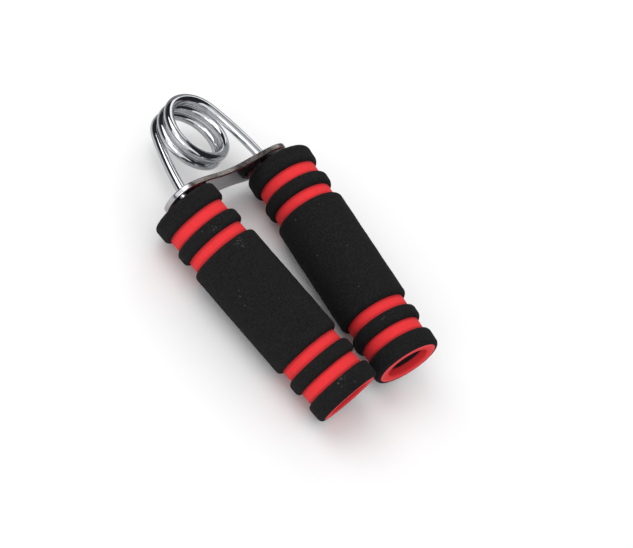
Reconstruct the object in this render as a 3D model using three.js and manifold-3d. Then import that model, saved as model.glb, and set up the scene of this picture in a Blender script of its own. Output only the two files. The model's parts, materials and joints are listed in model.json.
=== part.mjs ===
// Hand grip strengthener: torsion spring, bridge plate and two foam-covered grips.
// Millimetres, +Z up. X runs along the bridge plate, Y from the grip ends towards the coil.
// The grips are drawn squeezed almost shut, which is the rest pose.
import * as THREE from "three";
import Module from "manifold-3d";

// ---- driving dimensions ----
const WIRE_R = 2.1;            // spring wire radius
const COIL_R = 14.3;           // coil mean radius
const COIL_PITCH = 4.6;        // rise per turn
const COIL_TURNS = 2.5;
const COIL_UP = 27.1;          // coil centre above the grip tops
const LEG_Z = COIL_PITCH * COIL_TURNS / 2;   // each leg stays in the plane of its end turn
const LEG_X = 21.8;            // leg centre at the plate, from the mid line
const LEG_TOP_ANGLE = 25;      // lean of a leg where it leaves the coil, degrees
const LEG_PLATE_ANGLE = 9;     // lean of a leg at the plate, degrees

const PLATE_T = 2.5;           // plate thickness
const PLATE_MID = 3.5;         // plate mid height above the grip tops
const PLATE_HALF_LEN = 31.6;
const PLATE_HALF_WIDE = 10.2;  // at the ends
const PLATE_WAIST = 3.6;       // narrowing at the middle, each side
const PLATE_END_FROM = 22;     // where the rounded ends start
const PLATE_BEVEL = 0.35;
const SLOT_R = 2.55;

const GRIP_X = 26.8;           // grip axis at the grip top, from the mid line
const GRIP_LEAN = 6.65;        // grips close towards their lower ends, degrees
const GRIP_LEN = 101.5;
const BARREL_R = 15.0;
const BAND_R = 14.75;
const RED_R = 12.9;            // outside of the red layer
const BORE_R = 9.05;           // bore of the foam
const BLACK_IN = RED_R + 0.3;  // inside of the black layer
const BAND_END = 8.1;
const RING_START = 13.6;
const RING_END = 19.8;
const BARREL_START = 24.9;
const EDGE = 1.7;              // rounding of the black edges

const TUBE_OUT = 8.7;
const TUBE_IN = 7.4;
const TUBE_FROM = 2.0;
const TUBE_TO = GRIP_LEN - 3.0;       // the tube stops just inside the grip's end
const PLUG_AT = GRIP_LEN - 13.5;      // depth of the end plug's outer face
const PLUG_LEN = 14;
const WIRE_FIT = 0.35;         // gap round the wire in the plug

const TURN = Math.PI * 2;
const rad = (d) => d * Math.PI / 180;
const TWIST = Math.atan2(LEG_Z, LEG_X);   // coil axis leans this far from +Z, so the plate lies along X
const AROUND = 44;

// ---- helpers ----
function finish(geometry) {
  geometry.deleteAttribute("uv");
  geometry.computeVertexNormals();
  return geometry;
}

function lathe(points, segments = AROUND) {
  const profile = points.map(([r, y]) => new THREE.Vector2(r, y));
  return new THREE.LatheGeometry(profile, segments);
}

// Ring profile with rounded outer corners, from y0 up to y1.
function ringProfile(inner, outer, y0, y1, r0, r1, steps = 3) {
  const list = [[inner, y0]];
  for (let i = 0; i <= steps; i += 1) {
    const a = -Math.PI / 2 + (Math.PI / 2) * (i / steps);
    list.push([outer - r0 + r0 * Math.cos(a), y0 + r0 + r0 * Math.sin(a)]);
  }
  for (let i = 0; i <= steps; i += 1) {
    const a = (Math.PI / 2) * (i / steps);
    list.push([outer - r1 + r1 * Math.cos(a), y1 - r1 + r1 * Math.sin(a)]);
  }
  list.push([inner, y1]);
  list.push([inner, y0]);
  return list;
}

// Round rod along a list of points, closed at both ends; a rounded end gets shrinking rings.
function rod(points, radius, roundStart = false, segments = 16) {
  const path = points.map((p) => p.clone());
  const count = path.length;
  const tangents = path.map((p, i) => {
    const a = path[Math.max(i - 1, 0)];
    const b = path[Math.min(i + 1, count - 1)];
    return b.clone().sub(a).normalize();
  });
  const rings = [];
  let side = new THREE.Vector3(0, 0, 1);
  for (let i = 0; i < count; i += 1) {
    const t = tangents[i];
    side = side.clone().sub(t.clone().multiplyScalar(side.dot(t))).normalize();
    rings.push({ at: path[i], side, up: new THREE.Vector3().crossVectors(t, side), r: radius });
  }
  if (roundStart) {
    const first = rings[0];
    const back = tangents[0].clone().negate();
    for (const a of [30, 55, 75]) {
      const at = first.at.clone().addScaledVector(back, radius * Math.sin(rad(a)));
      rings.unshift({ at, side: first.side, up: first.up, r: radius * Math.cos(rad(a)) });
    }
  }
  const position = [];
  const index = [];
  for (const ring of rings) {
    for (let k = 0; k < segments; k += 1) {
      const a = TURN * k / segments;
      const p = ring.at.clone();
      p.addScaledVector(ring.side, ring.r * Math.cos(a));
      p.addScaledVector(ring.up, ring.r * Math.sin(a));
      position.push(p.x, p.y, p.z);
    }
  }
  for (let i = 0; i + 1 < rings.length; i += 1) {
    for (let k = 0; k < segments; k += 1) {
      const a = i * segments + k;
      const b = i * segments + (k + 1) % segments;
      index.push(a, b, b + segments);
      index.push(a, b + segments, a + segments);
    }
  }
  const start = position.length / 3;
  const headTip = roundStart ? rings[0].at.clone().addScaledVector(tangents[0], -radius * 0.034) : rings[0].at;
  position.push(headTip.x, headTip.y, headTip.z);
  const tail = rings[rings.length - 1].at;
  position.push(tail.x, tail.y, tail.z);
  const last = (rings.length - 1) * segments;
  for (let k = 0; k < segments; k += 1) {
    const n = (k + 1) % segments;
    index.push(start, n, k);
    index.push(start + 1, last + k, last + n);
  }
  const geometry = new THREE.BufferGeometry();
  geometry.setAttribute("position", new THREE.Float32BufferAttribute(position, 3));
  geometry.setIndex(index);
  geometry.computeVertexNormals();
  return geometry;
}

const wasm = await Module();
wasm.setup();

function weld(geometry) {
  const seen = new Map();
  const vertices = [];
  const triangles = [];
  const position = geometry.getAttribute("position");
  const order = geometry.index;
  const total = order ? order.count : position.count;
  for (let i = 0; i < total; i += 1) {
    const v = order ? order.getX(i) : i;
    const p = [position.getX(v), position.getY(v), position.getZ(v)];
    const key = p.map((n) => Math.round(n * 2e4)).join(",");
    if (!seen.has(key)) {
      seen.set(key, vertices.length / 3);
      vertices.push(...p);
    }
    triangles.push(seen.get(key));
  }
  const kept = [];
  for (let i = 0; i < triangles.length; i += 3) {
    const [a, b, c] = triangles.slice(i, i + 3);
    if (a !== b && b !== c && a !== c) kept.push(a, b, c);
  }
  return { vertices, triangles: kept };
}

function toSolid(geometry) {
  const { vertices, triangles } = weld(geometry);
  const mesh = new wasm.Mesh({
    numProp: 3,
    vertProperties: new Float32Array(vertices),
    triVerts: new Uint32Array(triangles),
  });
  return new wasm.Manifold(mesh);
}

function fromSolid(solid) {
  const mesh = solid.getMesh();
  const geometry = new THREE.BufferGeometry();
  geometry.setAttribute("position", new THREE.Float32BufferAttribute(mesh.vertProperties, 3));
  geometry.setIndex(Array.from(mesh.triVerts));
  geometry.computeVertexNormals();
  return geometry;
}

// Upright block with round ends (a slot cutter): centres run from x0 to x1, height along Y.
function slotCutter(x0, x1, r, y0, y1, steps = 12) {
  const shape = new THREE.Shape();
  shape.absarc(x1, 0, r, -Math.PI / 2, Math.PI / 2, false);
  shape.absarc(x0, 0, r, Math.PI / 2, Math.PI * 1.5, false);
  shape.closePath();
  const block = new THREE.ExtrudeGeometry(shape, { depth: y1 - y0, bevelEnabled: false, curveSegments: steps });
  block.rotateX(-Math.PI / 2);
  block.translate(0, y0, 0);
  return block;
}

// ---- materials ----
const chrome = { color: 0xc9ccd1, roughness: 0.16, metalness: 1.0 };
const plateChrome = { color: 0xb9b7b4, roughness: 0.24, metalness: 1.0 };
const blackFoam = { color: 0x1b1b1d, roughness: 0.95, metalness: 0.0 };
const redFoam = { color: 0xe2343c, roughness: 0.9, metalness: 0.0 };
const darkPlastic = { color: 0x26272a, roughness: 0.5, metalness: 0.0 };
const greyPlastic = { color: 0x3a3b3f, roughness: 0.55, metalness: 0.0 };

const group = new THREE.Group();
group.name = "hand_grip_strengthener";

// Everything is worked out with the coil axis on Z, then turned so the plate lies along X.
const settle = new THREE.Matrix4().makeRotationY(TWIST);
const halfTurn = new THREE.Matrix4().makeRotationY(Math.PI);
const gripPlace = new THREE.Matrix4()
  .makeTranslation(GRIP_X, 0, LEG_Z)
  .multiply(new THREE.Matrix4().makeRotationZ(-rad(GRIP_LEAN)));

function addMesh(name, geometry, look) {
  const mesh = new THREE.Mesh(finish(geometry), new THREE.MeshStandardMaterial(look));
  mesh.name = name;
  group.add(mesh);
}

function addPair(name, geometry, look) {
  const right = geometry.clone().applyMatrix4(settle);
  const left = geometry.clone().applyMatrix4(halfTurn).applyMatrix4(settle);
  addMesh("right_" + name, right, look);
  addMesh("left_" + name, left, look);
}

// ---- bridge plate ----
function plateOutline() {
  const edge = [];
  for (let i = -24; i <= 24; i += 1) {
    const x = PLATE_END_FROM * i / 24;
    const wide = PLATE_HALF_WIDE - PLATE_WAIST * (1 + Math.cos(Math.PI * x / PLATE_END_FROM)) / 2;
    edge.push([x, wide - PLATE_BEVEL]);
  }
  for (let i = 1; i < 20; i += 1) {
    const a = Math.PI / 2 - Math.PI * i / 20;
    const c = Math.cos(a);
    const s = Math.sin(a);
    const x = PLATE_END_FROM + (PLATE_HALF_LEN - PLATE_END_FROM - PLATE_BEVEL) * Math.pow(Math.abs(c), 0.85);
    const z = (PLATE_HALF_WIDE - PLATE_BEVEL) * Math.sign(s) * Math.pow(Math.abs(s), 0.85);
    edge.push([x, z]);
  }
  const back = edge.map(([x, z]) => [-x, -z]);
  return edge.concat(back).reverse();
}

const shape = new THREE.Shape(plateOutline().map(([x, z]) => new THREE.Vector2(x, z)));
let plate = new THREE.ExtrudeGeometry(shape, {
  depth: PLATE_T - 2 * PLATE_BEVEL,
  bevelThickness: PLATE_BEVEL,
  bevelSize: PLATE_BEVEL,
  bevelSegments: 2,
  curveSegments: 4,
});
plate.rotateX(-Math.PI / 2);
plate.translate(0, PLATE_MID - PLATE_T / 2 + PLATE_BEVEL, 0);
let plateSolid = toSolid(plate);
for (const side of [0, 1]) {
  const hole = slotCutter(-0.3, 1.1, SLOT_R, PLATE_MID - 5, PLATE_MID + 5);
  hole.translate(LEG_X, 0, LEG_Z);
  if (side) hole.applyMatrix4(halfTurn);
  hole.applyMatrix4(settle);
  plateSolid = plateSolid.subtract(toSolid(hole));
}
addMesh("bridge_plate", fromSolid(plateSolid), plateChrome);

// ---- torsion spring: right leg up, two and a half turns, left leg down ----
function bezier(p0, p1, p2, p3, steps, from, list) {
  for (let i = from; i <= steps; i += 1) {
    const t = i / steps;
    const q = 1 - t;
    const p = p0.clone().multiplyScalar(q * q * q);
    p.addScaledVector(p1, 3 * q * q * t);
    p.addScaledVector(p2, 3 * q * t * t);
    p.addScaledVector(p3, t * t * t);
    list.push(p);
  }
  return list;
}

const legEnd = PLATE_MID + PLATE_T / 2 + 0.45;
const topLean = rad(LEG_TOP_ANGLE);
const plateLean = rad(LEG_PLATE_ANGLE);
const leaveAt = new THREE.Vector3(COIL_R * Math.cos(topLean), COIL_UP + COIL_R * Math.sin(topLean), LEG_Z);
const reachAt = new THREE.Vector3(LEG_X - (legEnd - PLATE_MID) * Math.tan(plateLean), legEnd, LEG_Z);
const pull = leaveAt.distanceTo(reachAt) / 3;
const rightLeg = bezier(
  reachAt,
  reachAt.clone().add(new THREE.Vector3(-Math.sin(plateLean), Math.cos(plateLean), 0).multiplyScalar(pull)),
  leaveAt.clone().add(new THREE.Vector3(Math.sin(topLean), -Math.cos(topLean), 0).multiplyScalar(pull)),
  leaveAt, 14, 0, []);
const leftLeg = rightLeg.map((p) => new THREE.Vector3(-p.x, p.y, -p.z)).reverse();
const coil = [];
const coilFrom = topLean;
const coilTo = TURN * COIL_TURNS - topLean;
const coilSteps = 78;
for (let i = 1; i < coilSteps; i += 1) {
  const share = i / coilSteps;
  const a = coilFrom + (coilTo - coilFrom) * share;
  const ease = Math.min(Math.max((share - 0.02) / 0.96, 0), 1);
  const z = LEG_Z * (1 - 2 * ease);
  coil.push(new THREE.Vector3(COIL_R * Math.cos(a), COIL_UP + COIL_R * Math.sin(a), z));
}
const spring = rod([...rightLeg, ...coil, ...leftLeg], WIRE_R);
addMesh("torsion_spring", spring.applyMatrix4(settle), chrome);

// ---- lower leg wire: through the plate, into the grip, down to the end plug ----
const wireTop = new THREE.Vector3(LEG_X, PLATE_MID, LEG_Z);
wireTop.addScaledVector(new THREE.Vector3(Math.sin(plateLean), -Math.cos(plateLean), 0), 0.9);
const toGrip = gripPlace.clone().invert();
const start = wireTop.clone().applyMatrix4(toGrip);
const lean = plateLean + rad(GRIP_LEAN);
const join = new THREE.Vector3(0, -46, 0);
const wirePath = bezier(
  start,
  start.clone().add(new THREE.Vector3(Math.sin(lean), -Math.cos(lean), 0).multiplyScalar(14)),
  join.clone().add(new THREE.Vector3(0, 16, 0)),
  join, 16, 0, []);
wirePath.push(new THREE.Vector3(0, -(PLUG_AT - 3.5), 0));
const lowerWire = rod(wirePath, WIRE_R, true);
addPair("leg_wire", lowerWire.applyMatrix4(gripPlace), chrome);

// ---- core tube, top collar and end plug of each grip ----
const tube = lathe([
  [TUBE_IN, -TUBE_TO], [TUBE_OUT, -TUBE_TO], [TUBE_OUT, -TUBE_FROM], [TUBE_IN, -TUBE_FROM], [TUBE_IN, -TUBE_TO],
]);
addPair("core_tube", tube.applyMatrix4(gripPlace), darkPlastic);

const collarIn = TUBE_IN - 0.3;
const collarBody = lathe([
  [0, -7], [collarIn - 0.5, -7], [collarIn, -6.5], [collarIn, -TUBE_FROM + 0.3],
  [TUBE_OUT, -TUBE_FROM + 0.3], [TUBE_OUT, -0.6], [TUBE_OUT - 0.3, -0.3], [0, -0.3],
], 40);
const collarSlot = slotCutter(-4.75, -2.6, WIRE_R + 0.45, -9, 2, 10);
const collar = fromSolid(toSolid(collarBody).subtract(toSolid(collarSlot)));
addPair("top_collar", collar.applyMatrix4(gripPlace), greyPlastic);

const plugTop = -(PLUG_AT - PLUG_LEN);
const plugLow = -PLUG_AT;
const plugIn = WIRE_R + WIRE_FIT;
const plug = lathe([
  [0, plugLow], [collarIn - 1.0, plugLow], [collarIn, plugLow + 1.0], [collarIn, plugTop - 0.8],
  [collarIn - 0.8, plugTop], [plugIn + 0.9, plugTop], [plugIn, plugTop - 0.9],
  [plugIn, -(PLUG_AT - 3.5) - WIRE_FIT], [0, -(PLUG_AT - 3.5) - WIRE_FIT],
], 40);
addPair("end_plug", plug.applyMatrix4(gripPlace), greyPlastic);

// ---- foam: red inner layer and five black rings of the outer layer on each grip ----
const redCore = lathe([
  [BORE_R, -GRIP_LEN + 0.6], [BORE_R + 0.6, -GRIP_LEN], [RED_R - 0.1, -GRIP_LEN],
  [RED_R, -GRIP_LEN + 0.1], [RED_R, -0.1], [RED_R - 0.1, 0], [BORE_R + 0.6, 0], [BORE_R, -0.6],
  [BORE_R, -GRIP_LEN + 0.6],
]);
addPair("foam_core", redCore.applyMatrix4(gripPlace), redFoam);

const blackRings = [
  ["top_band", BAND_R, 0, BAND_END],
  ["upper_ring", BAND_R, RING_START, RING_END],
  ["main_sleeve", BARREL_R, BARREL_START, GRIP_LEN - BARREL_START],
  ["lower_ring", BAND_R, GRIP_LEN - RING_END, GRIP_LEN - RING_START],
  ["end_band", BAND_R, GRIP_LEN - BAND_END, GRIP_LEN],
];
for (const [name, outer, from, to] of blackRings) {
  const profile = ringProfile(BLACK_IN, outer, -to, -from, EDGE, EDGE);
  addPair(name, lathe(profile).applyMatrix4(gripPlace), blackFoam);
}

// ---- put the middle of the footprint on the origin and the lowest point on z = 0 ----
const box = new THREE.Box3().setFromObject(group);
const middle = box.getCenter(new THREE.Vector3());
for (const mesh of group.children) mesh.geometry.translate(-middle.x, -middle.y, -box.min.z);

export default group;
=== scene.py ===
"""Hand grip strengthener: foam grips, spring wire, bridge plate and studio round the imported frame.

Laid out as an add-on. Sizes and colours are properties, each group of like pieces is an operator,
and main() calls the operators in order. Lengths are metres, in the frame's own axes.
"""

import json
import math

import bmesh
import bpy
import numpy as np
from mathutils import Matrix, Vector


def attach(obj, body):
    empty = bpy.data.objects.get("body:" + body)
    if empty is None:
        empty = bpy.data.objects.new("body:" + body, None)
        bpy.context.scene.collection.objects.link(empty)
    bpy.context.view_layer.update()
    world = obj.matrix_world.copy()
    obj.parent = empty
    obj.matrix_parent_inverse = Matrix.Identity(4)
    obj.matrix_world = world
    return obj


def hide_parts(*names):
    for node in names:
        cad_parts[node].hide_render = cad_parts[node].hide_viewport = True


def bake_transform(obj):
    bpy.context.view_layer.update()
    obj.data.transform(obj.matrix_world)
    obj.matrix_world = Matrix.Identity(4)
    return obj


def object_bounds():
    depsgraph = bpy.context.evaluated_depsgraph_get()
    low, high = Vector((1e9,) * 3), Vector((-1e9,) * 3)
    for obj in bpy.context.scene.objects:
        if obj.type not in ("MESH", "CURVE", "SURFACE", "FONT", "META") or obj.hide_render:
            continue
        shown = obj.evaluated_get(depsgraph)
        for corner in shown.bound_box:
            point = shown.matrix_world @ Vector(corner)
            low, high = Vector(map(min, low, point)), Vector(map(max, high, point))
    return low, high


bl_info = {
    "name": "Hand Grip Strengthener",
    "version": (1, 0, 0),
    "blender": (4, 5, 0),
    "location": "View3D > Sidebar > Hand Grip",
    "description": "Foam grips, spring wire, bridge plate and studio for a hand grip strengthener",
    "category": "Object",
}

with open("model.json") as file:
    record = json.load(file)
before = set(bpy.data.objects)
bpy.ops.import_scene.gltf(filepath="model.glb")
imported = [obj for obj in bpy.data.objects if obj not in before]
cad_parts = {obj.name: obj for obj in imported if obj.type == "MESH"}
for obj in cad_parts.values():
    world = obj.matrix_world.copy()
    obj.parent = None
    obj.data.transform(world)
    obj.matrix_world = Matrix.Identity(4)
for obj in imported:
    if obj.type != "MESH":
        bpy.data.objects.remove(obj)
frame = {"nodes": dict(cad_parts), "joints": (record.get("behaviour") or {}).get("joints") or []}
CAD_BOX = [list(corner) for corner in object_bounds()]
MM = 0.001

# The coil's own axes: its axis is Z, the grip tops meet the plane y = 0, and the mid line is x = 0.
SQUEEZE = {joint["name"]: joint for joint in frame["joints"]}["right_squeeze"]
PIVOT = Vector(SQUEEZE["pos_m"])
COIL_AXIS = Vector(SQUEEZE["axis"])
PIVOT_UP = 3.5 * MM
SPRING_PLACE = Matrix.Translation((0, PIVOT.y - PIVOT_UP, PIVOT.z)) @ Matrix.Rotation(
    math.atan2(COIL_AXIS.x, COIL_AXIS.z), 4, "Y"
)
PLATE_PLACE = Matrix.Translation((0, PIVOT.y - PIVOT_UP, PIVOT.z))
LEG = SPRING_PLACE.inverted() @ PIVOT
SIDE_PLACE = {
    "right": SPRING_PLACE,
    "left": SPRING_PLACE @ Matrix.Rotation(math.pi, 4, "Y"),
}

# Grips, measured down from the grip top.
GRIP_X = 26.8 * MM
GRIP_LEAN = math.radians(6.65)
GRIP_LENGTH = 101.5 * MM
WIRE_END = GRIP_LENGTH - 17 * MM  # the wire stops inside the end plug
GRIP_IN_SPRING = Matrix.Translation((GRIP_X, 0, LEG.z)) @ Matrix.Rotation(-GRIP_LEAN, 4, "Z")
STAND_UP = Matrix.Rotation(-math.pi / 2, 4, "X")  # a piece is shaped along Z and lies along Y
GRIP_PLACE = {side: place @ GRIP_IN_SPRING @ STAND_UP for side, place in SIDE_PLACE.items()}

# Where the black layer is cut away, as depths down the grip.
GROOVES = [(8.1 * MM, 13.6 * MM), (19.8 * MM, 24.9 * MM)]
GROOVES += [(GRIP_LENGTH - stop, GRIP_LENGTH - start) for start, stop in reversed(GROOVES)]
BLACK_PIECES = ["top_band", "upper_ring", "main_sleeve", "lower_ring", "end_band"]

# Coil and legs.
COIL_RADIUS = 14.3 * MM
COIL_UP = 27.1 * MM
COIL_TURNS = 2.5
LEG_TOP_LEAN = math.radians(25)
LEG_PLATE_LEAN = math.radians(9)
SPRING_END = 5.2 * MM  # the rigid spring stops here, just above the plate
BEND_END = -3.5 * MM  # the bending length of wire ends inside the collar

COIL_STEPS = 300
LEG_STEPS = 44

# What polished metal sees round it, and the plain background.
ROOM_DARK = (0.018, 0.020, 0.024)
ROOM_BRIGHT = (0.93, 0.94, 0.96)
BACKGROUND = (0.96, 0.96, 0.965)
FAR_FLOOR_IN_METAL = 0.10

# Scuffed places: grip, depth down it, turn towards the right of the picture, and radius.
SCUFFS = (
    ("left", 17.0 * MM, 0.45, 3.2 * MM),
    ("left", 28.5 * MM, 0.75, 3.0 * MM),
    ("left", 95.0 * MM, 0.2, 3.6 * MM),
    ("right", 84.0 * MM, 0.1, 1.3 * MM),
)

# Camera direction, as azimuth and elevation round the object, and its roll.
LOOK_AZIMUTH = math.radians(-70.67)
LOOK_ELEVATION = math.radians(48.36)


# ---------------------------------------------------------------------------
# Properties
# ---------------------------------------------------------------------------
def length_setting(label, description, default, precision=5):
    return bpy.props.FloatProperty(
        name=label, description=description, default=default, unit="LENGTH", precision=precision
    )


def colour_setting(label, description, default):
    return bpy.props.FloatVectorProperty(
        name=label, description=description, default=default, subtype="COLOR", min=0, max=1
    )


class GripFoam(bpy.types.PropertyGroup):
    """Sizes and colours of the foam."""

    band_radius: length_setting("Band radius", "Outside radius of the narrow black rings", 14.75 * MM)
    sleeve_radius: length_setting("Sleeve radius", "Outside radius of the long black sleeve", 15.0 * MM)
    core_radius: length_setting("Red radius", "Outside radius of the red inner layer", 12.9 * MM)
    bore_radius: length_setting("Bore radius", "Radius of the bore through the foam", 9.05 * MM)
    rounding: length_setting("Edge rounding", "Rounding of the black layer's cut edges", 1.9 * MM)
    cell: length_setting(
        "Mesh cell", "Length of one mesh cell on the foam, which carries its unevenness", 0.62 * MM
    )
    unevenness: length_setting("Unevenness", "How far the ground foam surface wanders in and out", 0.16 * MM)
    grain: length_setting("Grain size", "Width of one foam cell", 0.34 * MM)
    black: colour_setting("Black", "Colour of the outer foam", (0.0115, 0.0115, 0.0121))
    red: colour_setting("Red", "Colour of the inner foam", (0.80, 0.036, 0.042))
    lint: colour_setting("Lint", "Colour of lint and pale scuffs on the black foam", (0.22, 0.22, 0.215))


class GripMetal(bpy.types.PropertyGroup):
    """Sizes and colours of the wire and the plate."""

    wire_radius: length_setting("Wire radius", "Radius of the spring wire", 2.1 * MM)
    wire_sides: bpy.props.IntProperty(
        name="Wire resolution",
        description="Bevel resolution of the round wire",
        default=14,
        min=4,
        max=24,
    )
    plate_thickness: length_setting("Plate thickness", "Thickness of the bridge plate", 2.5 * MM)
    plate_half_length: length_setting("Plate half length", "Half the length of the bridge plate", 31.6 * MM)
    plate_half_width: length_setting(
        "Plate half width", "Half the width of the bridge plate at its ends", 10.2 * MM
    )
    plate_waist: length_setting("Plate waist", "How much each long side draws in at the middle", 3.6 * MM)
    slot_radius: length_setting(
        "Slot radius", "Half the width of the slots that the wire passes through", 2.55 * MM
    )
    chrome: colour_setting("Chrome", "Colour of the bright plating", (0.78, 0.79, 0.81))
    tarnish: colour_setting(
        "Tarnish", "Colour of the brownish film on the plate's edge", (0.22, 0.185, 0.165)
    )


class GripStage(bpy.types.PropertyGroup):
    """Floor, light and camera."""

    floor: colour_setting("Floor", "Colour of the pale floor", (0.93, 0.93, 0.935))
    floor_in_metal: bpy.props.FloatProperty(
        name="Floor in metal",
        description="How bright polished metal sees the floor, as a share of its colour",
        default=0.62,
        min=0,
        max=1,
    )
    ambient: bpy.props.FloatProperty(
        name="Ambient light",
        description="Strength of the even light from all round",
        default=0.79,
        min=0,
    )
    key_power: bpy.props.FloatProperty(
        name="Key light",
        description="Power of the largest soft box",
        default=8.0,
        min=0,
        unit="POWER",
    )
    lens: bpy.props.FloatProperty(
        name="Lens",
        description="Focal length of the camera, in millimetres",
        default=125.12,
        min=10,
    )
    distance: length_setting(
        "Camera distance", "Distance from the camera to the point that it looks at", 0.8866, 4
    )
    aim: bpy.props.FloatVectorProperty(
        name="Aim",
        description="The point that the camera looks at",
        default=(0.0075, -0.0204, 0.0165),
        subtype="TRANSLATION",
        precision=4,
    )
    roll: bpy.props.FloatProperty(
        name="Camera roll",
        description="Turn of the camera about its own line of sight",
        default=math.radians(38.11),
        subtype="ANGLE",
    )


# ---------------------------------------------------------------------------
# Modelling helpers
# ---------------------------------------------------------------------------
def mode(name):
    bpy.ops.object.mode_set(mode=name)


def let_go():
    """Leaves edit mode and deselects everything."""
    if bpy.context.object and bpy.context.object.mode != "OBJECT":
        mode("OBJECT")
    bpy.ops.object.select_all(action="DESELECT")


def take(obj):
    """Makes obj the only selected object and the active one."""
    let_go()
    obj.select_set(True)
    bpy.context.view_layer.objects.active = obj


def pick(kind, test):
    """In edit mode, selects only the vertices, edges or faces that pass the test."""
    mesh = bpy.context.edit_object.data
    bpy.context.tool_settings.mesh_select_mode = (kind == "VERT", kind == "EDGE", kind == "FACE")
    bpy.ops.mesh.select_all(action="DESELECT")
    shape = bmesh.from_edit_mesh(mesh)
    parts = {"VERT": shape.verts, "EDGE": shape.edges, "FACE": shape.faces}[kind]
    chosen = [part for part in parts if test(part)]
    if not chosen:
        raise RuntimeError(f"{bpy.context.edit_object.name}: nothing to select")
    for part in chosen:
        part.select_set(True)
    shape.select_flush_mode()
    bmesh.update_edit_mesh(mesh)


def across(vertex):
    """Distance of a vertex from the Z axis."""
    return math.hypot(vertex.co.x, vertex.co.y)


def near(a, b, slack=0.02 * MM):
    return abs(a - b) < slack


def rim_at(radius):
    """A test for edges that run round the Z axis at that radius."""
    return lambda e: all(near(across(v), radius) for v in e.verts) and near(
        e.verts[0].co.z, e.verts[1].co.z
    )


def wall_at(radius):
    """A test for edges that run along Z at that radius."""
    return lambda e: all(near(across(v), radius) for v in e.verts) and not near(
        e.verts[0].co.z, e.verts[1].co.z
    )


def end_face_edges(e):
    """True for edges that run towards the Z axis on a flat end."""
    a, b = e.verts
    return near(a.co.z, b.co.z) and abs(across(a) - across(b)) > 0.5 * MM


def close_up(merge=0.001 * MM):
    """In edit mode, merges doubles and turns all faces outwards."""
    bpy.ops.mesh.select_all(action="SELECT")
    bpy.ops.mesh.remove_doubles(threshold=merge)
    bpy.ops.mesh.normals_make_consistent(inside=False)


def set_down(obj, place):
    """Puts a piece in its place in the frame, with the place in its mesh and the object at the origin."""
    take(obj)
    obj.matrix_world = place @ obj.matrix_world
    bpy.ops.object.transform_apply(location=True, rotation=True, scale=True)
    if obj.matrix_world != Matrix.Identity(4):
        raise RuntimeError(f"{obj.name} isn't at the origin")


def remember_place(obj, name):
    """Keeps the present mesh coordinates as an attribute, for patterns that follow the piece."""
    count = len(obj.data.vertices)
    at = np.empty(count * 3, np.float32)
    obj.data.vertices.foreach_get("co", at)
    kept = obj.data.attributes.new(name, "FLOAT_VECTOR", "POINT")
    kept.data.foreach_set("vector", at)


def uneven(obj, strength, size):
    """Moves the surface in and out a little, in soft clouds of that size, and applies it."""
    take(obj)
    cloud = bpy.data.textures.new(f"{obj.name}_cloud", "CLOUDS")
    cloud.noise_scale = size
    cloud.noise_depth = 1
    shift = obj.modifiers.new("Unevenness", "DISPLACE")
    shift.texture = cloud
    shift.texture_coords = "LOCAL"
    shift.mid_level = 0.5
    shift.strength = strength
    bpy.ops.object.modifier_apply(modifier=shift.name)
    bpy.data.textures.remove(cloud)


def wear(obj, material):
    obj.data.materials.clear()
    obj.data.materials.append(material)


def twin(piece, name):
    """A copy of a piece with its own mesh."""
    other = piece.copy()
    other.data = piece.data.copy()
    other.name = name
    bpy.context.collection.objects.link(other)
    return other


def keep_shade(obj, name, values):
    """Stores one number for each vertex, for a material to read."""
    kept = obj.data.attributes.new(name, "FLOAT", "POINT")
    kept.data.foreach_set("value", values.astype(np.float32))


def foam_tube(name, outer, inner, top, bottom, rounding, inner_rounding, cell):
    """A foam tube along Z: both rims are drawn inwards, bridged, rounded and cut into cells."""
    let_go()
    around = int(math.tau * outer / cell / 4) * 4
    middle = (top + bottom) / 2
    bpy.ops.mesh.primitive_cylinder_add(
        vertices=around, radius=outer, depth=top - bottom, end_fill_type="NOTHING", location=(0, 0, middle)
    )
    tube = bpy.context.object
    tube.name = name
    bpy.ops.object.transform_apply(location=True, rotation=True, scale=True)
    mode("EDIT")
    pick("EDGE", rim_at(outer))
    bpy.ops.mesh.extrude_region_move()
    draw_in = inner / outer
    bpy.ops.transform.resize(value=(draw_in, draw_in, 1), center_override=(0, 0, middle))
    bpy.ops.mesh.bridge_edge_loops()
    pick("EDGE", rim_at(outer))
    bpy.ops.mesh.bevel(offset=rounding, segments=7, profile=0.5, affect="EDGES")
    if inner_rounding:
        pick("EDGE", rim_at(inner))
        bpy.ops.mesh.bevel(offset=inner_rounding, segments=3, profile=0.5, affect="EDGES")
    pick("EDGE", wall_at(outer))
    bpy.ops.mesh.subdivide(number_cuts=max(2, int((top - bottom - 2 * rounding) / cell)))
    pick("EDGE", wall_at(inner))
    bpy.ops.mesh.subdivide(number_cuts=max(1, int((top - bottom) / (5 * cell))))
    face_width = outer - inner - rounding - inner_rounding
    if face_width > 1.5 * MM:
        pick("EDGE", end_face_edges)
        bpy.ops.mesh.subdivide(number_cuts=int(face_width / cell))
    close_up()
    mode("OBJECT")
    bpy.ops.object.shade_smooth_by_angle(angle=math.radians(50))
    remember_place(tube, "grip_place")
    return tube


def along(points):
    """Distance along a line of points at each of them."""
    steps = [0.0]
    for a, b in zip(points, points[1:]):
        steps.append(steps[-1] + (b - a).length)
    return steps


def bezier(a, b, c, d, steps):
    """Points along a cubic from a to d."""
    found = []
    for i in range(steps + 1):
        t = i / steps
        q = 1 - t
        found.append(a * q**3 + b * (3 * q * q * t) + c * (3 * q * t * t) + d * t**3)
    return found


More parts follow.
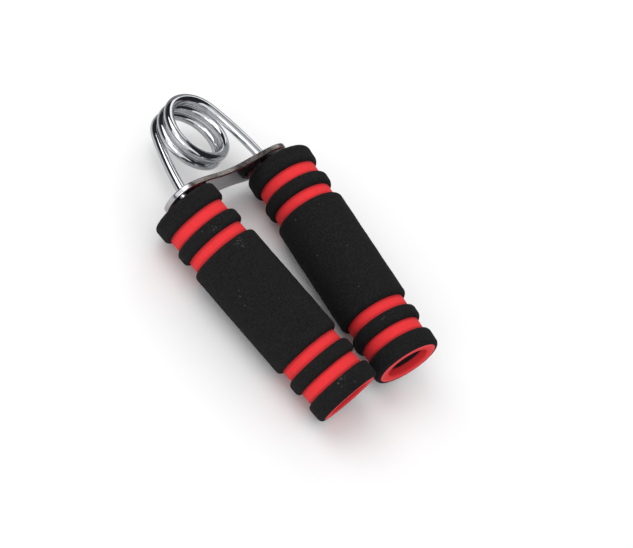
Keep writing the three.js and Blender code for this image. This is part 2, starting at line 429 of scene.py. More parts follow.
def round_wire(name, points, radius, resolution, starts_at=0.0):
    """A round wire through the points, with each vertex's place across and along the wire as an attribute."""
    let_go()
    bpy.ops.curve.primitive_nurbs_path_add(location=(0, 0, 0))
    wire = bpy.context.object
    wire.name = name
    line = wire.data
    line.splines.clear()
    spline = line.splines.new("POLY")
    spline.points.add(len(points) - 1)
    for point, at in zip(spline.points, points):
        point.co = (*at, 1)
    line.dimensions = "3D"
    line.bevel_depth = radius
    line.bevel_resolution = resolution
    line.use_fill_caps = True
    bpy.ops.object.convert(target="MESH")
    wire = bpy.context.object
    mode("EDIT")
    close_up()
    mode("OBJECT")
    bpy.ops.object.shade_smooth_by_angle(angle=math.radians(50))

    centres = np.array([list(p) for p in points])
    gone = np.array(along(points)) + starts_at
    at = np.array([list(v.co) for v in wire.data.vertices])
    nearest = np.array([int(((centres - p) ** 2).sum(1).argmin()) for p in at])
    # A side direction carried along the wire without twist.
    side = Vector((0, 0, 1))
    across_wire, over_wire = [], []
    for i in range(len(points)):
        ahead = (points[min(i + 1, len(points) - 1)] - points[max(i - 1, 0)]).normalized()
        side = (side - ahead * side.dot(ahead)).normalized()
        across_wire.append(list(side))
        over_wire.append(list(ahead.cross(side)))
    off = at - centres[nearest]
    place = np.stack(
        [
            (off * np.array(across_wire)[nearest]).sum(1),
            (off * np.array(over_wire)[nearest]).sum(1),
            gone[nearest],
        ],
        axis=1,
    )
    kept = wire.data.attributes.new("wire_place", "FLOAT_VECTOR", "POINT")
    kept.data.foreach_set("vector", place.astype(np.float32).ravel())
    return wire


# ---------------------------------------------------------------------------
# Material helpers
# ---------------------------------------------------------------------------
def fill(tree, node, sockets):
    """Fills a node's sockets with values or with links from other sockets."""
    for key, value in sockets.items():
        if isinstance(value, bpy.types.NodeSocket):
            tree.links.new(value, node.inputs[key])
        else:
            node.inputs[key].default_value = value


def put(tree, kind, sockets=None, **settings):
    """Adds a node, and fills its sockets with values or with links from other sockets."""
    made = tree.nodes.new(kind)
    for key, value in settings.items():
        setattr(made, key, value)
    fill(tree, made, sockets or {})
    return made


def calc(tree, operation, *values, clamp=False):
    """A Math node's result."""
    sockets = dict(enumerate(values))
    return put(tree, "ShaderNodeMath", sockets, operation=operation, use_clamp=clamp).outputs[0]


def calc_vector(tree, operation, *values, result=0):
    """A Vector Math node's result."""
    sockets = dict(enumerate(values))
    return put(tree, "ShaderNodeVectorMath", sockets, operation=operation).outputs[result]


def fade(tree, value, start, stop, low=0.0, high=1.0):
    """A smooth step of a value from low at start to high at stop."""
    sockets = {"Value": value, "From Min": start, "From Max": stop, "To Min": low, "To Max": high}
    return put(tree, "ShaderNodeMapRange", sockets, interpolation_type="SMOOTHSTEP").outputs["Result"]


def blend_colour(tree, factor, a, b, how="MIX"):
    """A Mix node's colour."""
    node = put(tree, "ShaderNodeMix", data_type="RGBA", blend_type=how)
    ends = [v if isinstance(v, bpy.types.NodeSocket) else (*tuple(v)[:3], 1) for v in (a, b)]
    fill(tree, node, {0: factor, 6: ends[0], 7: ends[1]})
    return node.outputs[2]


def noise(tree, vector, scale, detail=2.0, rough=0.5):
    """A Noise texture's value."""
    sockets = {"Vector": vector, "Scale": scale, "Detail": detail, "Roughness": rough}
    return put(tree, "ShaderNodeTexNoise", sockets).outputs[0]


def new_group(name, takes, gives):
    """An empty node group with those sockets, and its input and output nodes."""
    tree = bpy.data.node_groups.new(name, "ShaderNodeTree")
    for label, kind, value in takes:
        socket = tree.interface.new_socket(name=label, in_out="INPUT", socket_type=kind)
        if value is not None:
            socket.default_value = value
    for label, kind in gives:
        tree.interface.new_socket(name=label, in_out="OUTPUT", socket_type=kind)
    return tree, put(tree, "NodeGroupInput").outputs, put(tree, "NodeGroupOutput").inputs


def use_group(tree, name, sockets):
    """Places a node group and returns its outputs."""
    node = put(tree, "ShaderNodeGroup", node_tree=bpy.data.node_groups[name])
    fill(tree, node, sockets)
    return node.outputs


def new_material(name, **constants):
    """A material with a bare Principled shader, whose constants are set on its own sockets."""
    made = bpy.data.materials.new(name)
    if made.name != name:
        raise RuntimeError(f"the frame already has a material named {name}")
    made.use_nodes = True
    tree = made.node_tree
    tree.nodes.clear()
    shader = put(tree, "ShaderNodeBsdfPrincipled")
    for key, value in constants.items():
        shader.inputs[key.replace("_", " ")].default_value = value
    put(tree, "ShaderNodeOutputMaterial", {"Surface": shader.outputs[0]})
    return made, tree, shader.inputs


def finish_shader(tree, sockets, colour, roughness, height, depth, strength=1.0):
    """Links colour, roughness and a bump of that depth to the shader."""
    tree.links.new(colour, sockets["Base Color"])
    tree.links.new(roughness, sockets["Roughness"])
    bump = put(tree, "ShaderNodeBump", {"Height": height, "Distance": depth, "Strength": strength})
    tree.links.new(bump.outputs[0], sockets["Normal"])


def make_groups():
    """The shared effects: foam grain, lint, scuffs, metal waves and moulded grain."""
    value, vector = "NodeSocketFloat", "NodeSocketVector"

    tree, given, out = new_group(
        "Foam Grain",
        [("Vector", vector, None), ("Cell", value, 0.4 * MM)],
        [("Height", value), ("Pores", value), ("Patches", value)],
    )
    per_metre = calc(tree, "DIVIDE", 1.0, given["Cell"])
    stretched = calc_vector(tree, "ADD", given["Vector"], (0.013, 0.007, 0.021))
    cells = put(tree, "ShaderNodeTexVoronoi", {"Vector": stretched, "Scale": per_metre}, feature="F1")
    fine = noise(tree, given["Vector"], calc(tree, "MULTIPLY", per_metre, 0.9), 3.0, 0.6)
    coarse = noise(tree, given["Vector"], calc(tree, "MULTIPLY", per_metre, 0.16), 2.0, 0.5)
    pores = fade(tree, cells.outputs["Distance"], 0.42, 0.12)
    skin = calc(tree, "MULTIPLY", fine, 0.75)
    raised = calc(tree, "SUBTRACT", skin, calc(tree, "MULTIPLY", pores, 0.4))
    tree.links.new(calc(tree, "ADD", raised, calc(tree, "MULTIPLY", coarse, 0.5)), out["Height"])
    tree.links.new(pores, out["Pores"])
    tree.links.new(fade(tree, coarse, 0.34, 0.66), out["Patches"])

    tree, given, out = new_group(
        "Lint",
        [("Vector", vector, None), ("Spacing", value, 2.4 * MM), ("Share", value, 0.12)],
        [("Mask", value)],
    )
    drift = put(tree, "ShaderNodeTexNoise", {"Vector": given["Vector"], "Scale": 1100.0})
    pushed = calc_vector(tree, "SCALE", drift.outputs["Color"])
    pushed.node.inputs["Scale"].default_value = 0.9 * MM
    place = calc_vector(tree, "ADD", given["Vector"], pushed)
    cells = put(
        tree,
        "ShaderNodeTexVoronoi",
        {"Vector": place, "Scale": calc(tree, "DIVIDE", 1.0, given["Spacing"])},
        feature="F1",
    )
    chance = put(tree, "ShaderNodeSeparateColor", {"Color": cells.outputs["Color"]}).outputs[0]
    kept = calc(tree, "LESS_THAN", chance, given["Share"])
    spot = fade(tree, cells.outputs["Distance"], 0.16, 0.07)
    clouds = fade(tree, noise(tree, given["Vector"], 120.0), 0.42, 0.62)
    shown = calc(tree, "MULTIPLY", calc(tree, "MULTIPLY", kept, spot), clouds)
    tree.links.new(shown, out["Mask"])

    tree, given, out = new_group(
        "Scuff",
        [("Vector", vector, None), ("Centre", vector, None), ("Radius", value, 3 * MM)],
        [("Mask", value)],
    )
    away = calc_vector(tree, "DISTANCE", given["Vector"], given["Centre"], result=1)
    share = calc(tree, "DIVIDE", away, given["Radius"])
    inside = fade(tree, share, 1.0, 0.25)
    rubbed = fade(tree, noise(tree, given["Vector"], 1500.0, 3.0, 0.65), 0.53, 0.66)
    worn = fade(tree, noise(tree, given["Vector"], 420.0, 2.0), 0.42, 0.6)
    tree.links.new(calc(tree, "MULTIPLY", inside, calc(tree, "MULTIPLY", rubbed, worn)), out["Mask"])

    tree, given, out = new_group(
        "Metal Skin",
        [("Vector", vector, None), ("Streak Scale", vector, None)],
        [("Height", value), ("Film", value), ("Streaks", value)],
    )
    drawn = calc_vector(tree, "MULTIPLY", given["Vector"], given["Streak Scale"])
    streaks = noise(tree, drawn, 1.0, 4.0, 0.6)
    waves = noise(tree, given["Vector"], 260.0, 1.0, 0.4)
    film = fade(tree, noise(tree, given["Vector"], 700.0, 4.0, 0.6), 0.35, 0.75)
    tree.links.new(
        calc(tree, "ADD", calc(tree, "MULTIPLY", streaks, 0.12), waves), out["Height"]
    )
    tree.links.new(film, out["Film"])
    tree.links.new(fade(tree, streaks, 0.35, 0.7), out["Streaks"])

    tree, given, out = new_group(
        "Moulded Grain",
        [("Vector", vector, None), ("Grain", value, 0.5 * MM)],
        [("Height", value), ("Tone", value)],
    )
    per_metre = calc(tree, "DIVIDE", 1.0, given["Grain"])
    pebble = put(
        tree, "ShaderNodeTexVoronoi", {"Vector": given["Vector"], "Scale": per_metre}, feature="SMOOTH_F1"
    )
    cloud = noise(tree, given["Vector"], calc(tree, "MULTIPLY", per_metre, 0.2), 3.0)
    tree.links.new(calc(tree, "ADD", pebble.outputs["Distance"], cloud), out["Height"])
    tree.links.new(cloud, out["Tone"])


def place_of(tree, attribute=None):
    """Object coordinates, or an attribute's vector."""
    if attribute:
        return put(tree, "ShaderNodeAttribute", attribute_name=attribute).outputs["Vector"]
    return put(tree, "ShaderNodeTexCoord").outputs["Object"]


def grip_point(side, depth, lean_right):
    """A point on a grip's surface at that depth, on the camera's side, turned towards its right or left."""
    back, up, right = look_axes()
    axis = (GRIP_PLACE[side].to_3x3() @ Vector((0, 0, 1))).normalized()
    outwards = back + right * lean_right
    outwards = (outwards - axis * outwards.dot(axis)).normalized()
    return GRIP_PLACE[side] @ Vector((0, 0, -depth)) + outwards * 14.8 * MM


def make_black_foam(foam):
    """Matte black foam: fine cells, a soft sheen, lint, and four scuffed places."""
    made, tree, shader = new_material(
        "ground_black_foam", Specular_IOR_Level=0.1, Sheen_Weight=0.012, Sheen_Roughness=0.5
    )
    place = place_of(tree)
    grain = use_group(tree, "Foam Grain", {"Vector": place, "Cell": foam.grain})
    dark = Vector(foam.black)
    speck = fade(tree, noise(tree, place, 1 / (1.6 * foam.grain), 2.0), 0.36, 0.64)
    colour = blend_colour(tree, speck, dark * 0.68, dark * 1.36)
    colour = blend_colour(tree, calc(tree, "MULTIPLY", grain["Pores"], 0.75), colour, dark * 0.3)
    marks = use_group(tree, "Lint", {"Vector": place, "Spacing": 2.2 * MM, "Share": 0.07})["Mask"]
    marks = calc(tree, "MULTIPLY", marks, 0.35)
    for side, depth, lean, radius in SCUFFS:
        centre = grip_point(side, depth, lean)
        scuff = use_group(tree, "Scuff", {"Vector": place, "Centre": centre, "Radius": radius})["Mask"]
        marks = calc(tree, "MAXIMUM", marks, calc(tree, "MULTIPLY", scuff, 0.5))
    colour = blend_colour(tree, marks, colour, foam.lint)
    rough = fade(tree, grain["Patches"], 0.0, 1.0, 0.86, 0.97)
    finish_shader(tree, shader, colour, rough, grain["Height"], 0.17 * MM, 0.9)
    return made


def make_red_foam(foam):
    """Red inner foam: fine grain, painted shade by the groove walls, a painted shadow under the plate, and a
    painted highlight that makes the cut ends paler towards their rim.
    """
    made, tree, shader = new_material(
        "cut_red_foam", Specular_IOR_Level=0.14, Sheen_Weight=0.01, Sheen_Roughness=0.4
    )
    place = place_of(tree)
    down_grip = place_of(tree, "grip_place")
    grain = use_group(tree, "Foam Grain", {"Vector": place, "Cell": foam.grain * 0.8})
    red = Vector(foam.red)
    colour = blend_colour(tree, grain["Patches"], red * 0.93, red)
    shade = Vector((red.x * 0.55, red.y * 0.35, red.z * 0.4))
    colour = blend_colour(tree, calc(tree, "MULTIPLY", grain["Pores"], 0.16), colour, shade)
    # Painted shade: the red is darkened beside the black groove walls.
    wall = put(tree, "ShaderNodeAttribute", attribute_name="wall_shade").outputs["Fac"]
    colour = blend_colour(tree, calc(tree, "MULTIPLY", wall, 0.75), colour, shade * 0.55)
    # Painted highlight: the cut ends are painted a little paler towards their outer rim, where light catches
    # them.
    split = put(tree, "ShaderNodeSeparateXYZ", {"Vector": down_grip}).outputs
    flat = put(tree, "ShaderNodeCombineXYZ", {0: split[0], 1: split[1]}).outputs[0]
    radius = calc_vector(tree, "LENGTH", flat, result=1)
    from_end = calc(tree, "ABSOLUTE", calc(tree, "ADD", split[2], GRIP_LENGTH / 2))
    on_end = fade(tree, from_end, GRIP_LENGTH / 2 - 0.5 * MM, GRIP_LENGTH / 2 - 0.1 * MM)
    rim_highlight_falloff = fade(tree, radius, foam.core_radius - 2.4 * MM, foam.core_radius - 0.2 * MM)
    pale = calc(tree, "MULTIPLY", calc(tree, "MULTIPLY", on_end, rim_highlight_falloff), 0.35)
    colour = blend_colour(tree, pale, colour, (0.92, 0.16, 0.19))
    # Painted shadow: the top of the red core, under the plate, is painted darker.
    painted_plate_shadow = fade(tree, split[2], -1.6 * MM, -0.3 * MM)
    colour = blend_colour(tree, calc(tree, "MULTIPLY", painted_plate_shadow, 0.85), colour, shade * 0.3)
    rough = fade(tree, grain["Patches"], 0.0, 1.0, 0.72, 0.88)
    finish_shader(tree, shader, colour, rough, grain["Height"], 0.09 * MM, 0.7)
    return made


def make_chrome(name, metal, attribute, streak_scale, film_amount, rough_low, rough_high):
    """Bright plating over drawn or rolled steel, with streaks, a thin film and soft waves."""
    made, tree, shader = new_material(name, Metallic=1.0)
    place = place_of(tree, attribute)
    skin = use_group(tree, "Metal Skin", {"Vector": place, "Streak Scale": streak_scale})
    bright = Vector(metal.chrome)
    colour = blend_colour(tree, skin["Streaks"], bright, bright * 0.9)
    film = calc(tree, "MULTIPLY", skin["Film"], film_amount)
    colour = blend_colour(tree, film, colour, Vector((bright.x * 0.55, bright.y * 0.56, bright.z * 0.6)))
    rough = fade(tree, skin["Film"], 0.0, 1.0, rough_low, rough_high)
    return made, tree, shader, skin, colour, rough


def make_wire_chrome(metal):
    made, tree, shader, skin, colour, rough = make_chrome(
        "chromed_wire", metal, "wire_place", (2600.0, 2600.0, 90.0), 0.25, 0.05, 0.12
    )
    finish_shader(tree, shader, colour, rough, skin["Height"], 0.09 * MM, 0.5)
    return made


def make_plate_chrome(metal):
    made, tree, shader, skin, colour, rough = make_chrome(
        "bridge_plate_chrome", metal, None, (260.0, 2600.0, 1900.0), 0.3, 0.10, 0.22
    )
    edge = put(tree, "ShaderNodeAttribute", attribute_name="edge_band").outputs["Fac"]
    patches = fade(tree, noise(tree, place_of(tree), 330.0, 4.0, 0.65), 0.30, 0.62)
    along_plate = put(tree, "ShaderNodeSeparateXYZ", {"Vector": place_of(tree)}).outputs[0]
    end_at = metal.plate_half_length
    off_left_end = fade(tree, along_plate, -end_at + 2 * MM, -end_at + 10 * MM, 0.1, 1.0)
    worn = calc(tree, "MULTIPLY", off_left_end, fade(tree, patches, 0.0, 1.0, 0.78, 0.95))
    brown = calc(tree, "MULTIPLY", edge, worn)
    colour = blend_colour(tree, brown, colour, metal.tarnish)
    # Darker, patchy rings round each slot where the wire passes through.
    for sign in (1, -1):
        centre = Vector((PIVOT.x * sign, PIVOT.y, PIVOT.z))
        away = calc_vector(tree, "DISTANCE", place_of(tree), centre, result=1)
        slot_darkening = calc(tree, "MULTIPLY", fade(tree, away, 4.6 * MM, 2.9 * MM), patches)
        colour = blend_colour(tree, calc(tree, "MULTIPLY", slot_darkening, 0.7), colour, (0.10, 0.085, 0.075))
    rough = calc(tree, "ADD", rough, calc(tree, "MULTIPLY", brown, 0.16))
    finish_shader(tree, shader, colour, rough, skin["Height"], 0.08 * MM, 0.4)
    return made


def make_plastic(name, base, rough_low, rough_high):
    """Dark moulded plastic with a fine pebble."""
    made, tree, shader = new_material(name, Specular_IOR_Level=0.4)
    grain = use_group(tree, "Moulded Grain", {"Vector": place_of(tree), "Grain": 0.45 * MM})
    tone = fade(tree, grain["Tone"], 0.35, 0.65)
    colour = blend_colour(tree, tone, Vector(base) * 0.8, Vector(base) * 1.2)
    rough = fade(tree, tone, 0.0, 1.0, rough_low, rough_high)
    finish_shader(tree, shader, colour, rough, grain["Height"], 0.05 * MM, 0.6)
    return made


# ---------------------------------------------------------------------------
# Lines of the wire
# ---------------------------------------------------------------------------
def leg_from_coil():
    """The right leg above the plate, from its lower end up to the coil."""
    leave = Vector(
        (
            COIL_RADIUS * math.cos(LEG_TOP_LEAN),
            COIL_UP + COIL_RADIUS * math.sin(LEG_TOP_LEAN),
            LEG.z,
        )
    )
    reach = Vector((LEG.x - (SPRING_END - LEG.y) * math.tan(LEG_PLATE_LEAN), SPRING_END, LEG.z))
    pull = (leave - reach).length / 3
    up_leg = Vector((-math.sin(LEG_PLATE_LEAN), math.cos(LEG_PLATE_LEAN), 0)) * pull
    off_coil = Vector((math.sin(LEG_TOP_LEAN), -math.cos(LEG_TOP_LEAN), 0)) * pull
    return bezier(reach, reach + up_leg, leave + off_coil, leave, LEG_STEPS)


def climb(share, easing=0.05):
    """Rise along the coil from 0 to 1, starting and stopping gently."""
    if share < easing:
        return share**2 / (2 * easing * (1 - easing))
    if share > 1 - easing:
        return 1 - climb(1 - share, easing)
    return (share - easing / 2) / (1 - easing)


def spring_line():
    """Right leg, coil and left leg, in the coil's own axes."""
    leg = leg_from_coil()
    start, stop = LEG_TOP_LEAN, math.tau * COIL_TURNS - LEG_TOP_LEAN
    coil = []
    for i in range(1, COIL_STEPS):
        turn = start + (stop - start) * i / COIL_STEPS
        rise = LEG.z * (1 - 2 * climb(i / COIL_STEPS))
        coil.append(Vector((COIL_RADIUS * math.cos(turn), COIL_UP + COIL_RADIUS * math.sin(turn), rise)))
    other_leg = [Vector((-p.x, p.y, -p.z)) for p in reversed(leg)]
    return leg + coil + other_leg


def lower_line():
    """The right wire from just above the plate down to the end plug, in the coil's own axes."""
    top = leg_from_coil()[0]
    down = Vector((math.sin(LEG_PLATE_LEAN), -math.cos(LEG_PLATE_LEAN), 0))
    handed_over = LEG + down * 0.9 * MM
    straight = [top.lerp(handed_over, i / 16) for i in range(16)]
    into_grip = GRIP_IN_SPRING.inverted()
    start = into_grip @ handed_over
    lean = LEG_PLATE_LEAN + GRIP_LEAN
    join = Vector((0, -46 * MM, 0))
    curve = bezier(
        start,
        start + Vector((math.sin(lean), -math.cos(lean), 0)) * 14 * MM,
        join + Vector((0, 16 * MM, 0)),
        join,
        60,
    )
    end = Vector((0, -WIRE_END, 0))
    curve += [join.lerp(end, i / 12) for i in range(1, 13)]
    return straight + [GRIP_IN_SPRING @ p for p in curve]


# ---------------------------------------------------------------------------
# Operators
# ---------------------------------------------------------------------------
class GRIP_OT_materials(bpy.types.Operator):
    """Make the shared effects and every finish of the hand grip"""

    bl_idname = "grip.materials"
    bl_label = "Finishes"

    def execute(self, context):
        foam, metal = context.scene.grip_foam, context.scene.grip_metal
        make_groups()
        make_black_foam(foam)
        make_red_foam(foam)
        make_wire_chrome(metal)
        make_plate_chrome(metal)
        make_plastic("tube_plastic", (0.010, 0.010, 0.011), 0.5, 0.65)
        make_plastic("fitting_plastic", (0.016, 0.016, 0.018), 0.5, 0.65)
        return {"FINISHED"}


class GRIP_OT_red_cores(bpy.types.Operator):
    """Model the red inner foam of both grips"""

    bl_idname = "grip.red_cores"
    bl_label = "Red foam cores"

    def execute(self, context):
        foam = context.scene.grip_foam
        core = foam_tube(
            "right_red_core",
            foam.core_radius,
            foam.bore_radius,
            0,
            -GRIP_LENGTH,
            0.5 * MM,
            0.8 * MM,
            foam.cell * 1.15,
        )
        # Painted shade: darkens the red outer face near each groove edge, beside the black walls.
        depth = -np.array([v.co.z for v in core.data.vertices])
        out = np.array([across(v) for v in core.data.vertices]) > foam.core_radius - 0.1 * MM
        edges = np.array([edge for groove in GROOVES for edge in groove])
        gap = np.abs(depth[:, None] - edges[None, :]).min(1)
        shade = np.exp(-((gap / (0.75 * MM)) ** 2)) * out
        keep_shade(core, "wall_shade", shade)
        wear(core, bpy.data.materials["cut_red_foam"])
        for side, piece in (("right", core), ("left", twin(core, "left_red_core"))):
            set_down(piece, GRIP_PLACE[side])
            uneven(piece, foam.unevenness, 7 * MM)
            uneven(piece, foam.unevenness * 0.35, 1.6 * MM)
            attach(piece, f"{side}_handle")
            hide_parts(f"{side}_foam_core")
        return {"FINISHED"}


class GRIP_OT_black_rings(bpy.types.Operator):
    """Model the five black foam pieces of each grip"""

    bl_idname = "grip.black_rings"
    bl_label = "Black foam rings"

    def execute(self, context):
        foam = context.scene.grip_foam
        cuts = [0.0] + [edge for groove in GROOVES for edge in groove] + [GRIP_LENGTH]
        spans = list(zip(cuts[0::2], cuts[1::2]))
        for name, (start, stop) in zip(BLACK_PIECES, spans):
            outer = foam.sleeve_radius if name == "main_sleeve" else foam.band_radius
            ring = foam_tube(
                f"right_black_{name}",
                outer,
                foam.core_radius + 0.02 * MM,
                -start,
                -stop,
                foam.rounding,
                0,
                foam.cell,
            )
            wear(ring, bpy.data.materials["ground_black_foam"])
            for side, piece in (("right", ring), ("left", twin(ring, f"left_black_{name}"))):
                set_down(piece, GRIP_PLACE[side])
                uneven(piece, foam.unevenness, 6 * MM)
                uneven(piece, foam.unevenness * 0.4, 1.5 * MM)
                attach(piece, f"{side}_handle")
                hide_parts(f"{side}_{name}")
        return {"FINISHED"}


class GRIP_OT_spring(bpy.types.Operator):
    """Model the torsion spring: both upper legs and the coil, in one wire"""

    bl_idname = "grip.spring"
    bl_label = "Torsion spring"

    def execute(self, context):
        metal = context.scene.grip_metal
        spring = round_wire("spring_coil", spring_line(), metal.wire_radius, metal.wire_sides)
        set_down(spring, SPRING_PLACE)
        wear(spring, bpy.data.materials["chromed_wire"])
        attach(spring, "frame_spring")
        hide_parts("torsion_spring")
        return {"FINISHED"}


class GRIP_OT_leg_wires(bpy.types.Operator):
    """Model the wire through the plate and the wire down inside each grip"""

    bl_idname = "grip.leg_wires"
    bl_label = "Leg wires"

    def execute(self, context):
        metal = context.scene.grip_metal
        line = lower_line()
        split = next(i for i, p in enumerate(line) if p.y < BEND_END)
        for side, place in SIDE_PLACE.items():
            bend = round_wire(f"{side}_wire_bend", line[: split + 1], metal.wire_radius, metal.wire_sides)
            set_down(bend, place)
            wear(bend, bpy.data.materials["chromed_wire"])
            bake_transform(bend)
            lower = round_wire(
                f"{side}_lower_wire", line[split:], metal.wire_radius, metal.wire_sides, along(line)[split]
            )
            set_down(lower, place)
            wear(lower, bpy.data.materials["chromed_wire"])
            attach(lower, f"{side}_handle")
            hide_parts(f"{side}_leg_wire")
        return {"FINISHED"}


class GRIP_OT_bridge_plate(bpy.types.Operator):
    """Model the waisted bridge plate with its two slots and rounded edges"""

    bl_idname = "grip.bridge_plate"
    bl_label = "Bridge plate"

    def slot_cutter(self, metal, place):
        """An upright slot-shaped block: a cylinder whose halves are drawn apart."""
        let_go()
        bpy.ops.mesh.primitive_cylinder_add(vertices=64, radius=metal.slot_radius, depth=12 * MM)
        cutter = bpy.context.object
        mode("EDIT")
        pick("VERT", lambda v: v.co.x > 0.01 * MM)
        bpy.ops.transform.translate(value=(1.1 * MM, 0, 0))
        pick("VERT", lambda v: v.co.x < -0.01 * MM)
        bpy.ops.transform.translate(value=(-0.3 * MM, 0, 0))
        mode("OBJECT")
        set_down(cutter, place @ Matrix.Translation(LEG) @ STAND_UP)
        return cutter

    def outline(self, metal, turn):
        """A point of the outline at that share of a full turn: long waisted sides and round ends."""
        end_from = 22 * MM
        c, s = math.cos(turn), math.sin(turn)
        straight = math.radians(38)  # turns this far from the ends belong to the round ends
        lead = min(abs(turn % math.pi), math.pi - turn % math.pi)
        if lead < straight:
            a = lead / straight * math.pi / 2
            reach = metal.plate_half_length - end_from
            x = end_from + reach * math.cos(a) ** 0.85
            z = metal.plate_half_width * math.sin(a) ** 0.85
        else:
            x = end_from * (math.pi / 2 - lead) / (math.pi / 2 - straight)
            draw = metal.plate_waist * (1 + math.cos(math.pi * x / end_from)) / 2
            z = metal.plate_half_width - draw
        return math.copysign(x, c), math.copysign(z, s)

    def execute(self, context):
        metal = context.scene.grip_metal
        let_go()
        corners = 240
        bpy.ops.mesh.primitive_circle_add(vertices=corners, radius=1.0, fill_type="NGON")
        plate = bpy.context.object
        plate.name = "bridge_plate_chromed"
        for vertex in plate.data.vertices:
            turn = math.atan2(vertex.co.y, vertex.co.x) % math.tau
            x, z = self.outline(metal, turn)
            vertex.co = (x, z, metal.plate_thickness / 2)
        mode("EDIT")
        bpy.ops.mesh.select_all(action="SELECT")
        bpy.ops.mesh.extrude_region_move(
            TRANSFORM_OT_translate={"value": (0, 0, -metal.plate_thickness)}
        )
        close_up()
        mode("OBJECT")
        set_down(plate, PLATE_PLACE @ Matrix.Translation((0, PIVOT_UP, 0)) @ STAND_UP)
        for place in SIDE_PLACE.values():
            cutter = self.slot_cutter(metal, place)
            take(plate)
            cut = plate.modifiers.new("Slot", "BOOLEAN")
            cut.operation = "DIFFERENCE"
            cut.object = cutter
            bpy.ops.object.modifier_apply(modifier=cut.name)
            bpy.data.objects.remove(cutter)
        take(plate)
        rounded = plate.modifiers.new("Rolled edges", "BEVEL")
        rounded.width = 0.55 * MM
        rounded.segments = 4
        rounded.limit_method = "ANGLE"
        rounded.angle_limit = math.radians(50)
        bpy.ops.object.modifier_apply(modifier=rounded.name)
        mode("EDIT")
        close_up()
        mode("OBJECT")
        bpy.ops.object.shade_smooth_by_angle(angle=math.radians(40))
        level = plate.modifiers.new("Level normals", "WEIGHTED_NORMAL")
        level.weight = 80
        level.keep_sharp = True
        bpy.ops.object.modifier_apply(modifier=level.name)
        half = metal.plate_thickness / 2
        height = np.array([v.co.y for v in plate.data.vertices]) - PIVOT.y
        band = np.clip((half - np.abs(height)) / (0.45 * MM), 0, 1)
        keep_shade(plate, "edge_band", band)
        wear(plate, bpy.data.materials["bridge_plate_chrome"])
        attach(plate, "frame_spring")
        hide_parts("bridge_plate")
        return {"FINISHED"}


class GRIP_OT_fittings(bpy.types.Operator):
    """Give the tubes, collars and end plugs inside the grips their moulded finish"""

    bl_idname = "grip.fittings"
    bl_label = "Inner fittings"

    def execute(self, context):
        finishes = {
            "core_tube": "tube_plastic",
            "top_collar": "fitting_plastic",
            "end_plug": "fitting_plastic",
        }
        for side in SIDE_PLACE:
            for node, finish in finishes.items():
                wear(frame["nodes"][f"{side}_{node}"], bpy.data.materials[finish])
        return {"FINISHED"}


def look_axes():
    """Directions from the object to the camera, and up and right in its picture before its roll."""
    back = Vector(
        (
            math.sin(LOOK_AZIMUTH) * math.cos(LOOK_ELEVATION),
            -math.cos(LOOK_AZIMUTH) * math.cos(LOOK_ELEVATION),
            math.sin(LOOK_ELEVATION),
        )
    )
    roll = bpy.context.scene.grip_stage.roll
    turn = (-back).to_track_quat("-Z", "Y").to_matrix() @ Matrix.Rotation(roll, 3, "Z")
    return back, turn @ Vector((0, 1, 0)), turn @ Vector((1, 0, 0))


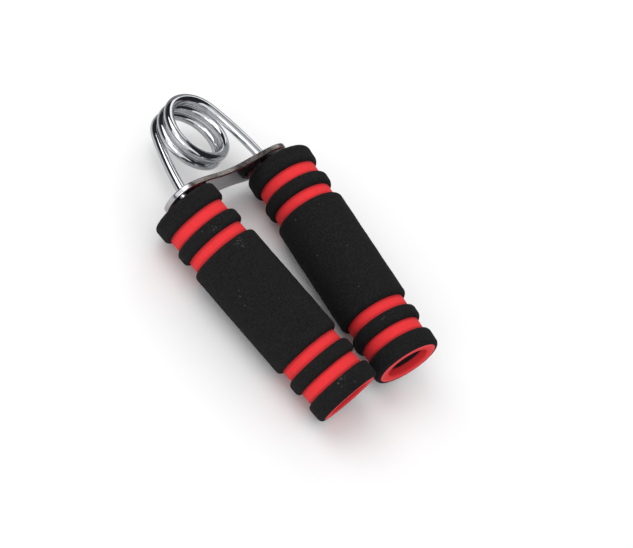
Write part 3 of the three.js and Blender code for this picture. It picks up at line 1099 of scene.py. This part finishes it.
class GRIP_OT_stage(bpy.types.Operator):
    """Set up the pale floor, the soft lights and the camera"""

    bl_idname = "grip.stage"
    bl_label = "Studio"

    def soft_box(self, name, towards, distance, size, power):
        """A square soft light in that direction from the object, facing it."""
        let_go()
        direction = towards.normalized()
        bpy.ops.object.light_add(type="AREA", location=direction * distance)
        light = bpy.context.object
        light.name = name
        light.rotation_euler = (-direction).to_track_quat("-Z", "Y").to_euler()
        light.data.shape = "SQUARE"
        light.data.size = size
        light.data.energy = power
        light.visible_camera = False
        return light

    def surroundings(self, stage, back, up, right):
        """Even pale light for matt surfaces, and a dark room with a bright low front for polished ones."""
        world = bpy.data.worlds.new("studio")
        bpy.context.scene.world = world
        world.use_nodes = True
        tree = world.node_tree
        tree.nodes.clear()
        direction = put(tree, "ShaderNodeTexCoord").outputs["Generated"]
        facing = calc_vector(tree, "DOT_PRODUCT", direction, back, result=1)
        low_front = (back - up * 0.5 - right * 0.22).normalized()
        front = fade(tree, calc_vector(tree, "DOT_PRODUCT", direction, low_front, result=1), 0.60, 0.68)
        overhead = put(tree, "ShaderNodeSeparateXYZ", {"Vector": direction}).outputs[2]
        behind = fade(tree, facing, -0.25, -0.45)
        bright = calc(tree, "MAXIMUM", front, calc(tree, "MULTIPLY", behind, 0.3))
        top = fade(tree, overhead, 0.93, 0.98)
        bright = calc(tree, "MAXIMUM", bright, calc(tree, "MULTIPLY", top, 0.55))
        seen = blend_colour(tree, bright, ROOM_DARK, ROOM_BRIGHT)
        path = put(tree, "ShaderNodeLightPath").outputs
        even = blend_colour(tree, path["Is Camera Ray"], (stage.ambient,) * 3, BACKGROUND)
        colour = blend_colour(tree, path["Is Glossy Ray"], even, seen)
        light = put(tree, "ShaderNodeBackground", {"Color": colour})
        put(tree, "ShaderNodeOutputWorld", {"Surface": light.outputs[0]})

    def floor(self, stage):
        let_go()
        bpy.ops.mesh.primitive_circle_add(
            vertices=96, radius=14.0, fill_type="NGON", location=(0, 0, CAD_BOX[0][2])
        )
        floor = bpy.context.object
        floor.name = "studio_floor"
        mode("EDIT")
        bpy.ops.mesh.select_all(action="SELECT")
        bpy.ops.mesh.inset(thickness=12.5)
        mode("OBJECT")
        bpy.ops.object.transform_apply(location=True, rotation=True, scale=True)
        made, tree, shader = new_material("studio_paper", Specular_IOR_Level=0.1)
        cloud = noise(tree, place_of(tree), 3.0, 2.0)
        pale = Vector(stage.floor)
        colour = blend_colour(tree, cloud, pale * 0.995, pale)
        # Polished metal sees a dimmer floor, which fades to dark away from the object.
        mirrored = put(tree, "ShaderNodeLightPath").outputs["Is Glossy Ray"]
        away = calc_vector(tree, "LENGTH", place_of(tree), result=1)
        near_floor = fade(tree, away, 0.17, 0.08)
        dim = blend_colour(tree, near_floor, pale * FAR_FLOOR_IN_METAL, pale * stage.floor_in_metal)
        colour = blend_colour(tree, mirrored, colour, dim)
        fibre = noise(tree, place_of(tree), 900.0, 3.0)
        rough = fade(tree, fibre, 0.3, 0.7, 0.85, 0.95)
        finish_shader(tree, shader, colour, rough, fibre, 0.02 * MM, 0.3)
        wear(floor, made)

    def camera(self, stage, back, up, right):
        let_go()
        bpy.ops.object.camera_add(location=Vector(stage.aim) + back * stage.distance)
        camera = bpy.context.object
        camera.name = "studio_camera"
        turned = Matrix((right, up, back)).transposed()
        camera.rotation_euler = turned.to_euler()
        camera.data.lens = stage.lens
        camera.data.sensor_width = 36
        camera.data.clip_start = 0.01
        camera.data.clip_end = 60
        bpy.context.scene.camera = camera

    def execute(self, context):
        stage = context.scene.grip_stage
        back, up, right = look_axes()
        self.surroundings(stage, back, up, right)
        self.floor(stage)
        power = stage.key_power
        self.soft_box("key_box", back * 0.75 + up * 0.75 - right * 0.15, 1.5, 1.1, power)
        self.soft_box("front_box", back * 1.0 - right * 0.35 - up * 0.1, 1.6, 0.9, power * 0.45)
        self.soft_box("far_box", Vector((0.9, 0.55, 0.8)), 1.6, 0.8, power * 0.3)
        self.camera(stage, back, up, right)
        context.scene.view_settings.view_transform = "Standard"
        context.scene.view_settings.look = "None"
        return {"FINISHED"}


class GRIP_PT_panel(bpy.types.Panel):
    """Lists the steps and settings of the hand grip"""

    bl_idname = "GRIP_PT_panel"
    bl_label = "Hand Grip"
    bl_space_type = "VIEW_3D"
    bl_region_type = "UI"
    bl_category = "Hand Grip"

    def draw(self, context):
        for step in STEPS:
            self.layout.operator(step.bl_idname)
        for settings in (context.scene.grip_foam, context.scene.grip_metal, context.scene.grip_stage):
            box = self.layout.box()
            for name in settings.__annotations__:
                box.prop(settings, name)


SETTINGS = {"grip_foam": GripFoam, "grip_metal": GripMetal, "grip_stage": GripStage}
STEPS = (
    GRIP_OT_materials,
    GRIP_OT_red_cores,
    GRIP_OT_black_rings,
    GRIP_OT_spring,
    GRIP_OT_leg_wires,
    GRIP_OT_bridge_plate,
    GRIP_OT_fittings,
    GRIP_OT_stage,
)


def register():
    for name, group in SETTINGS.items():
        bpy.utils.register_class(group)
        setattr(bpy.types.Scene, name, bpy.props.PointerProperty(type=group))
    for step in STEPS:
        bpy.utils.register_class(step)
    bpy.utils.register_class(GRIP_PT_panel)


def unregister():
    bpy.utils.unregister_class(GRIP_PT_panel)
    for step in reversed(STEPS):
        bpy.utils.unregister_class(step)
    for name, group in SETTINGS.items():
        delattr(bpy.types.Scene, name)
        bpy.utils.unregister_class(group)


def main():
    register()
    bpy.ops.grip.materials()
    bpy.ops.grip.red_cores()
    bpy.ops.grip.black_rings()
    bpy.ops.grip.spring()
    bpy.ops.grip.leg_wires()
    bpy.ops.grip.bridge_plate()
    bpy.ops.grip.fittings()
    bpy.ops.grip.stage()
    let_go()


if __name__ == "__main__":
    main()
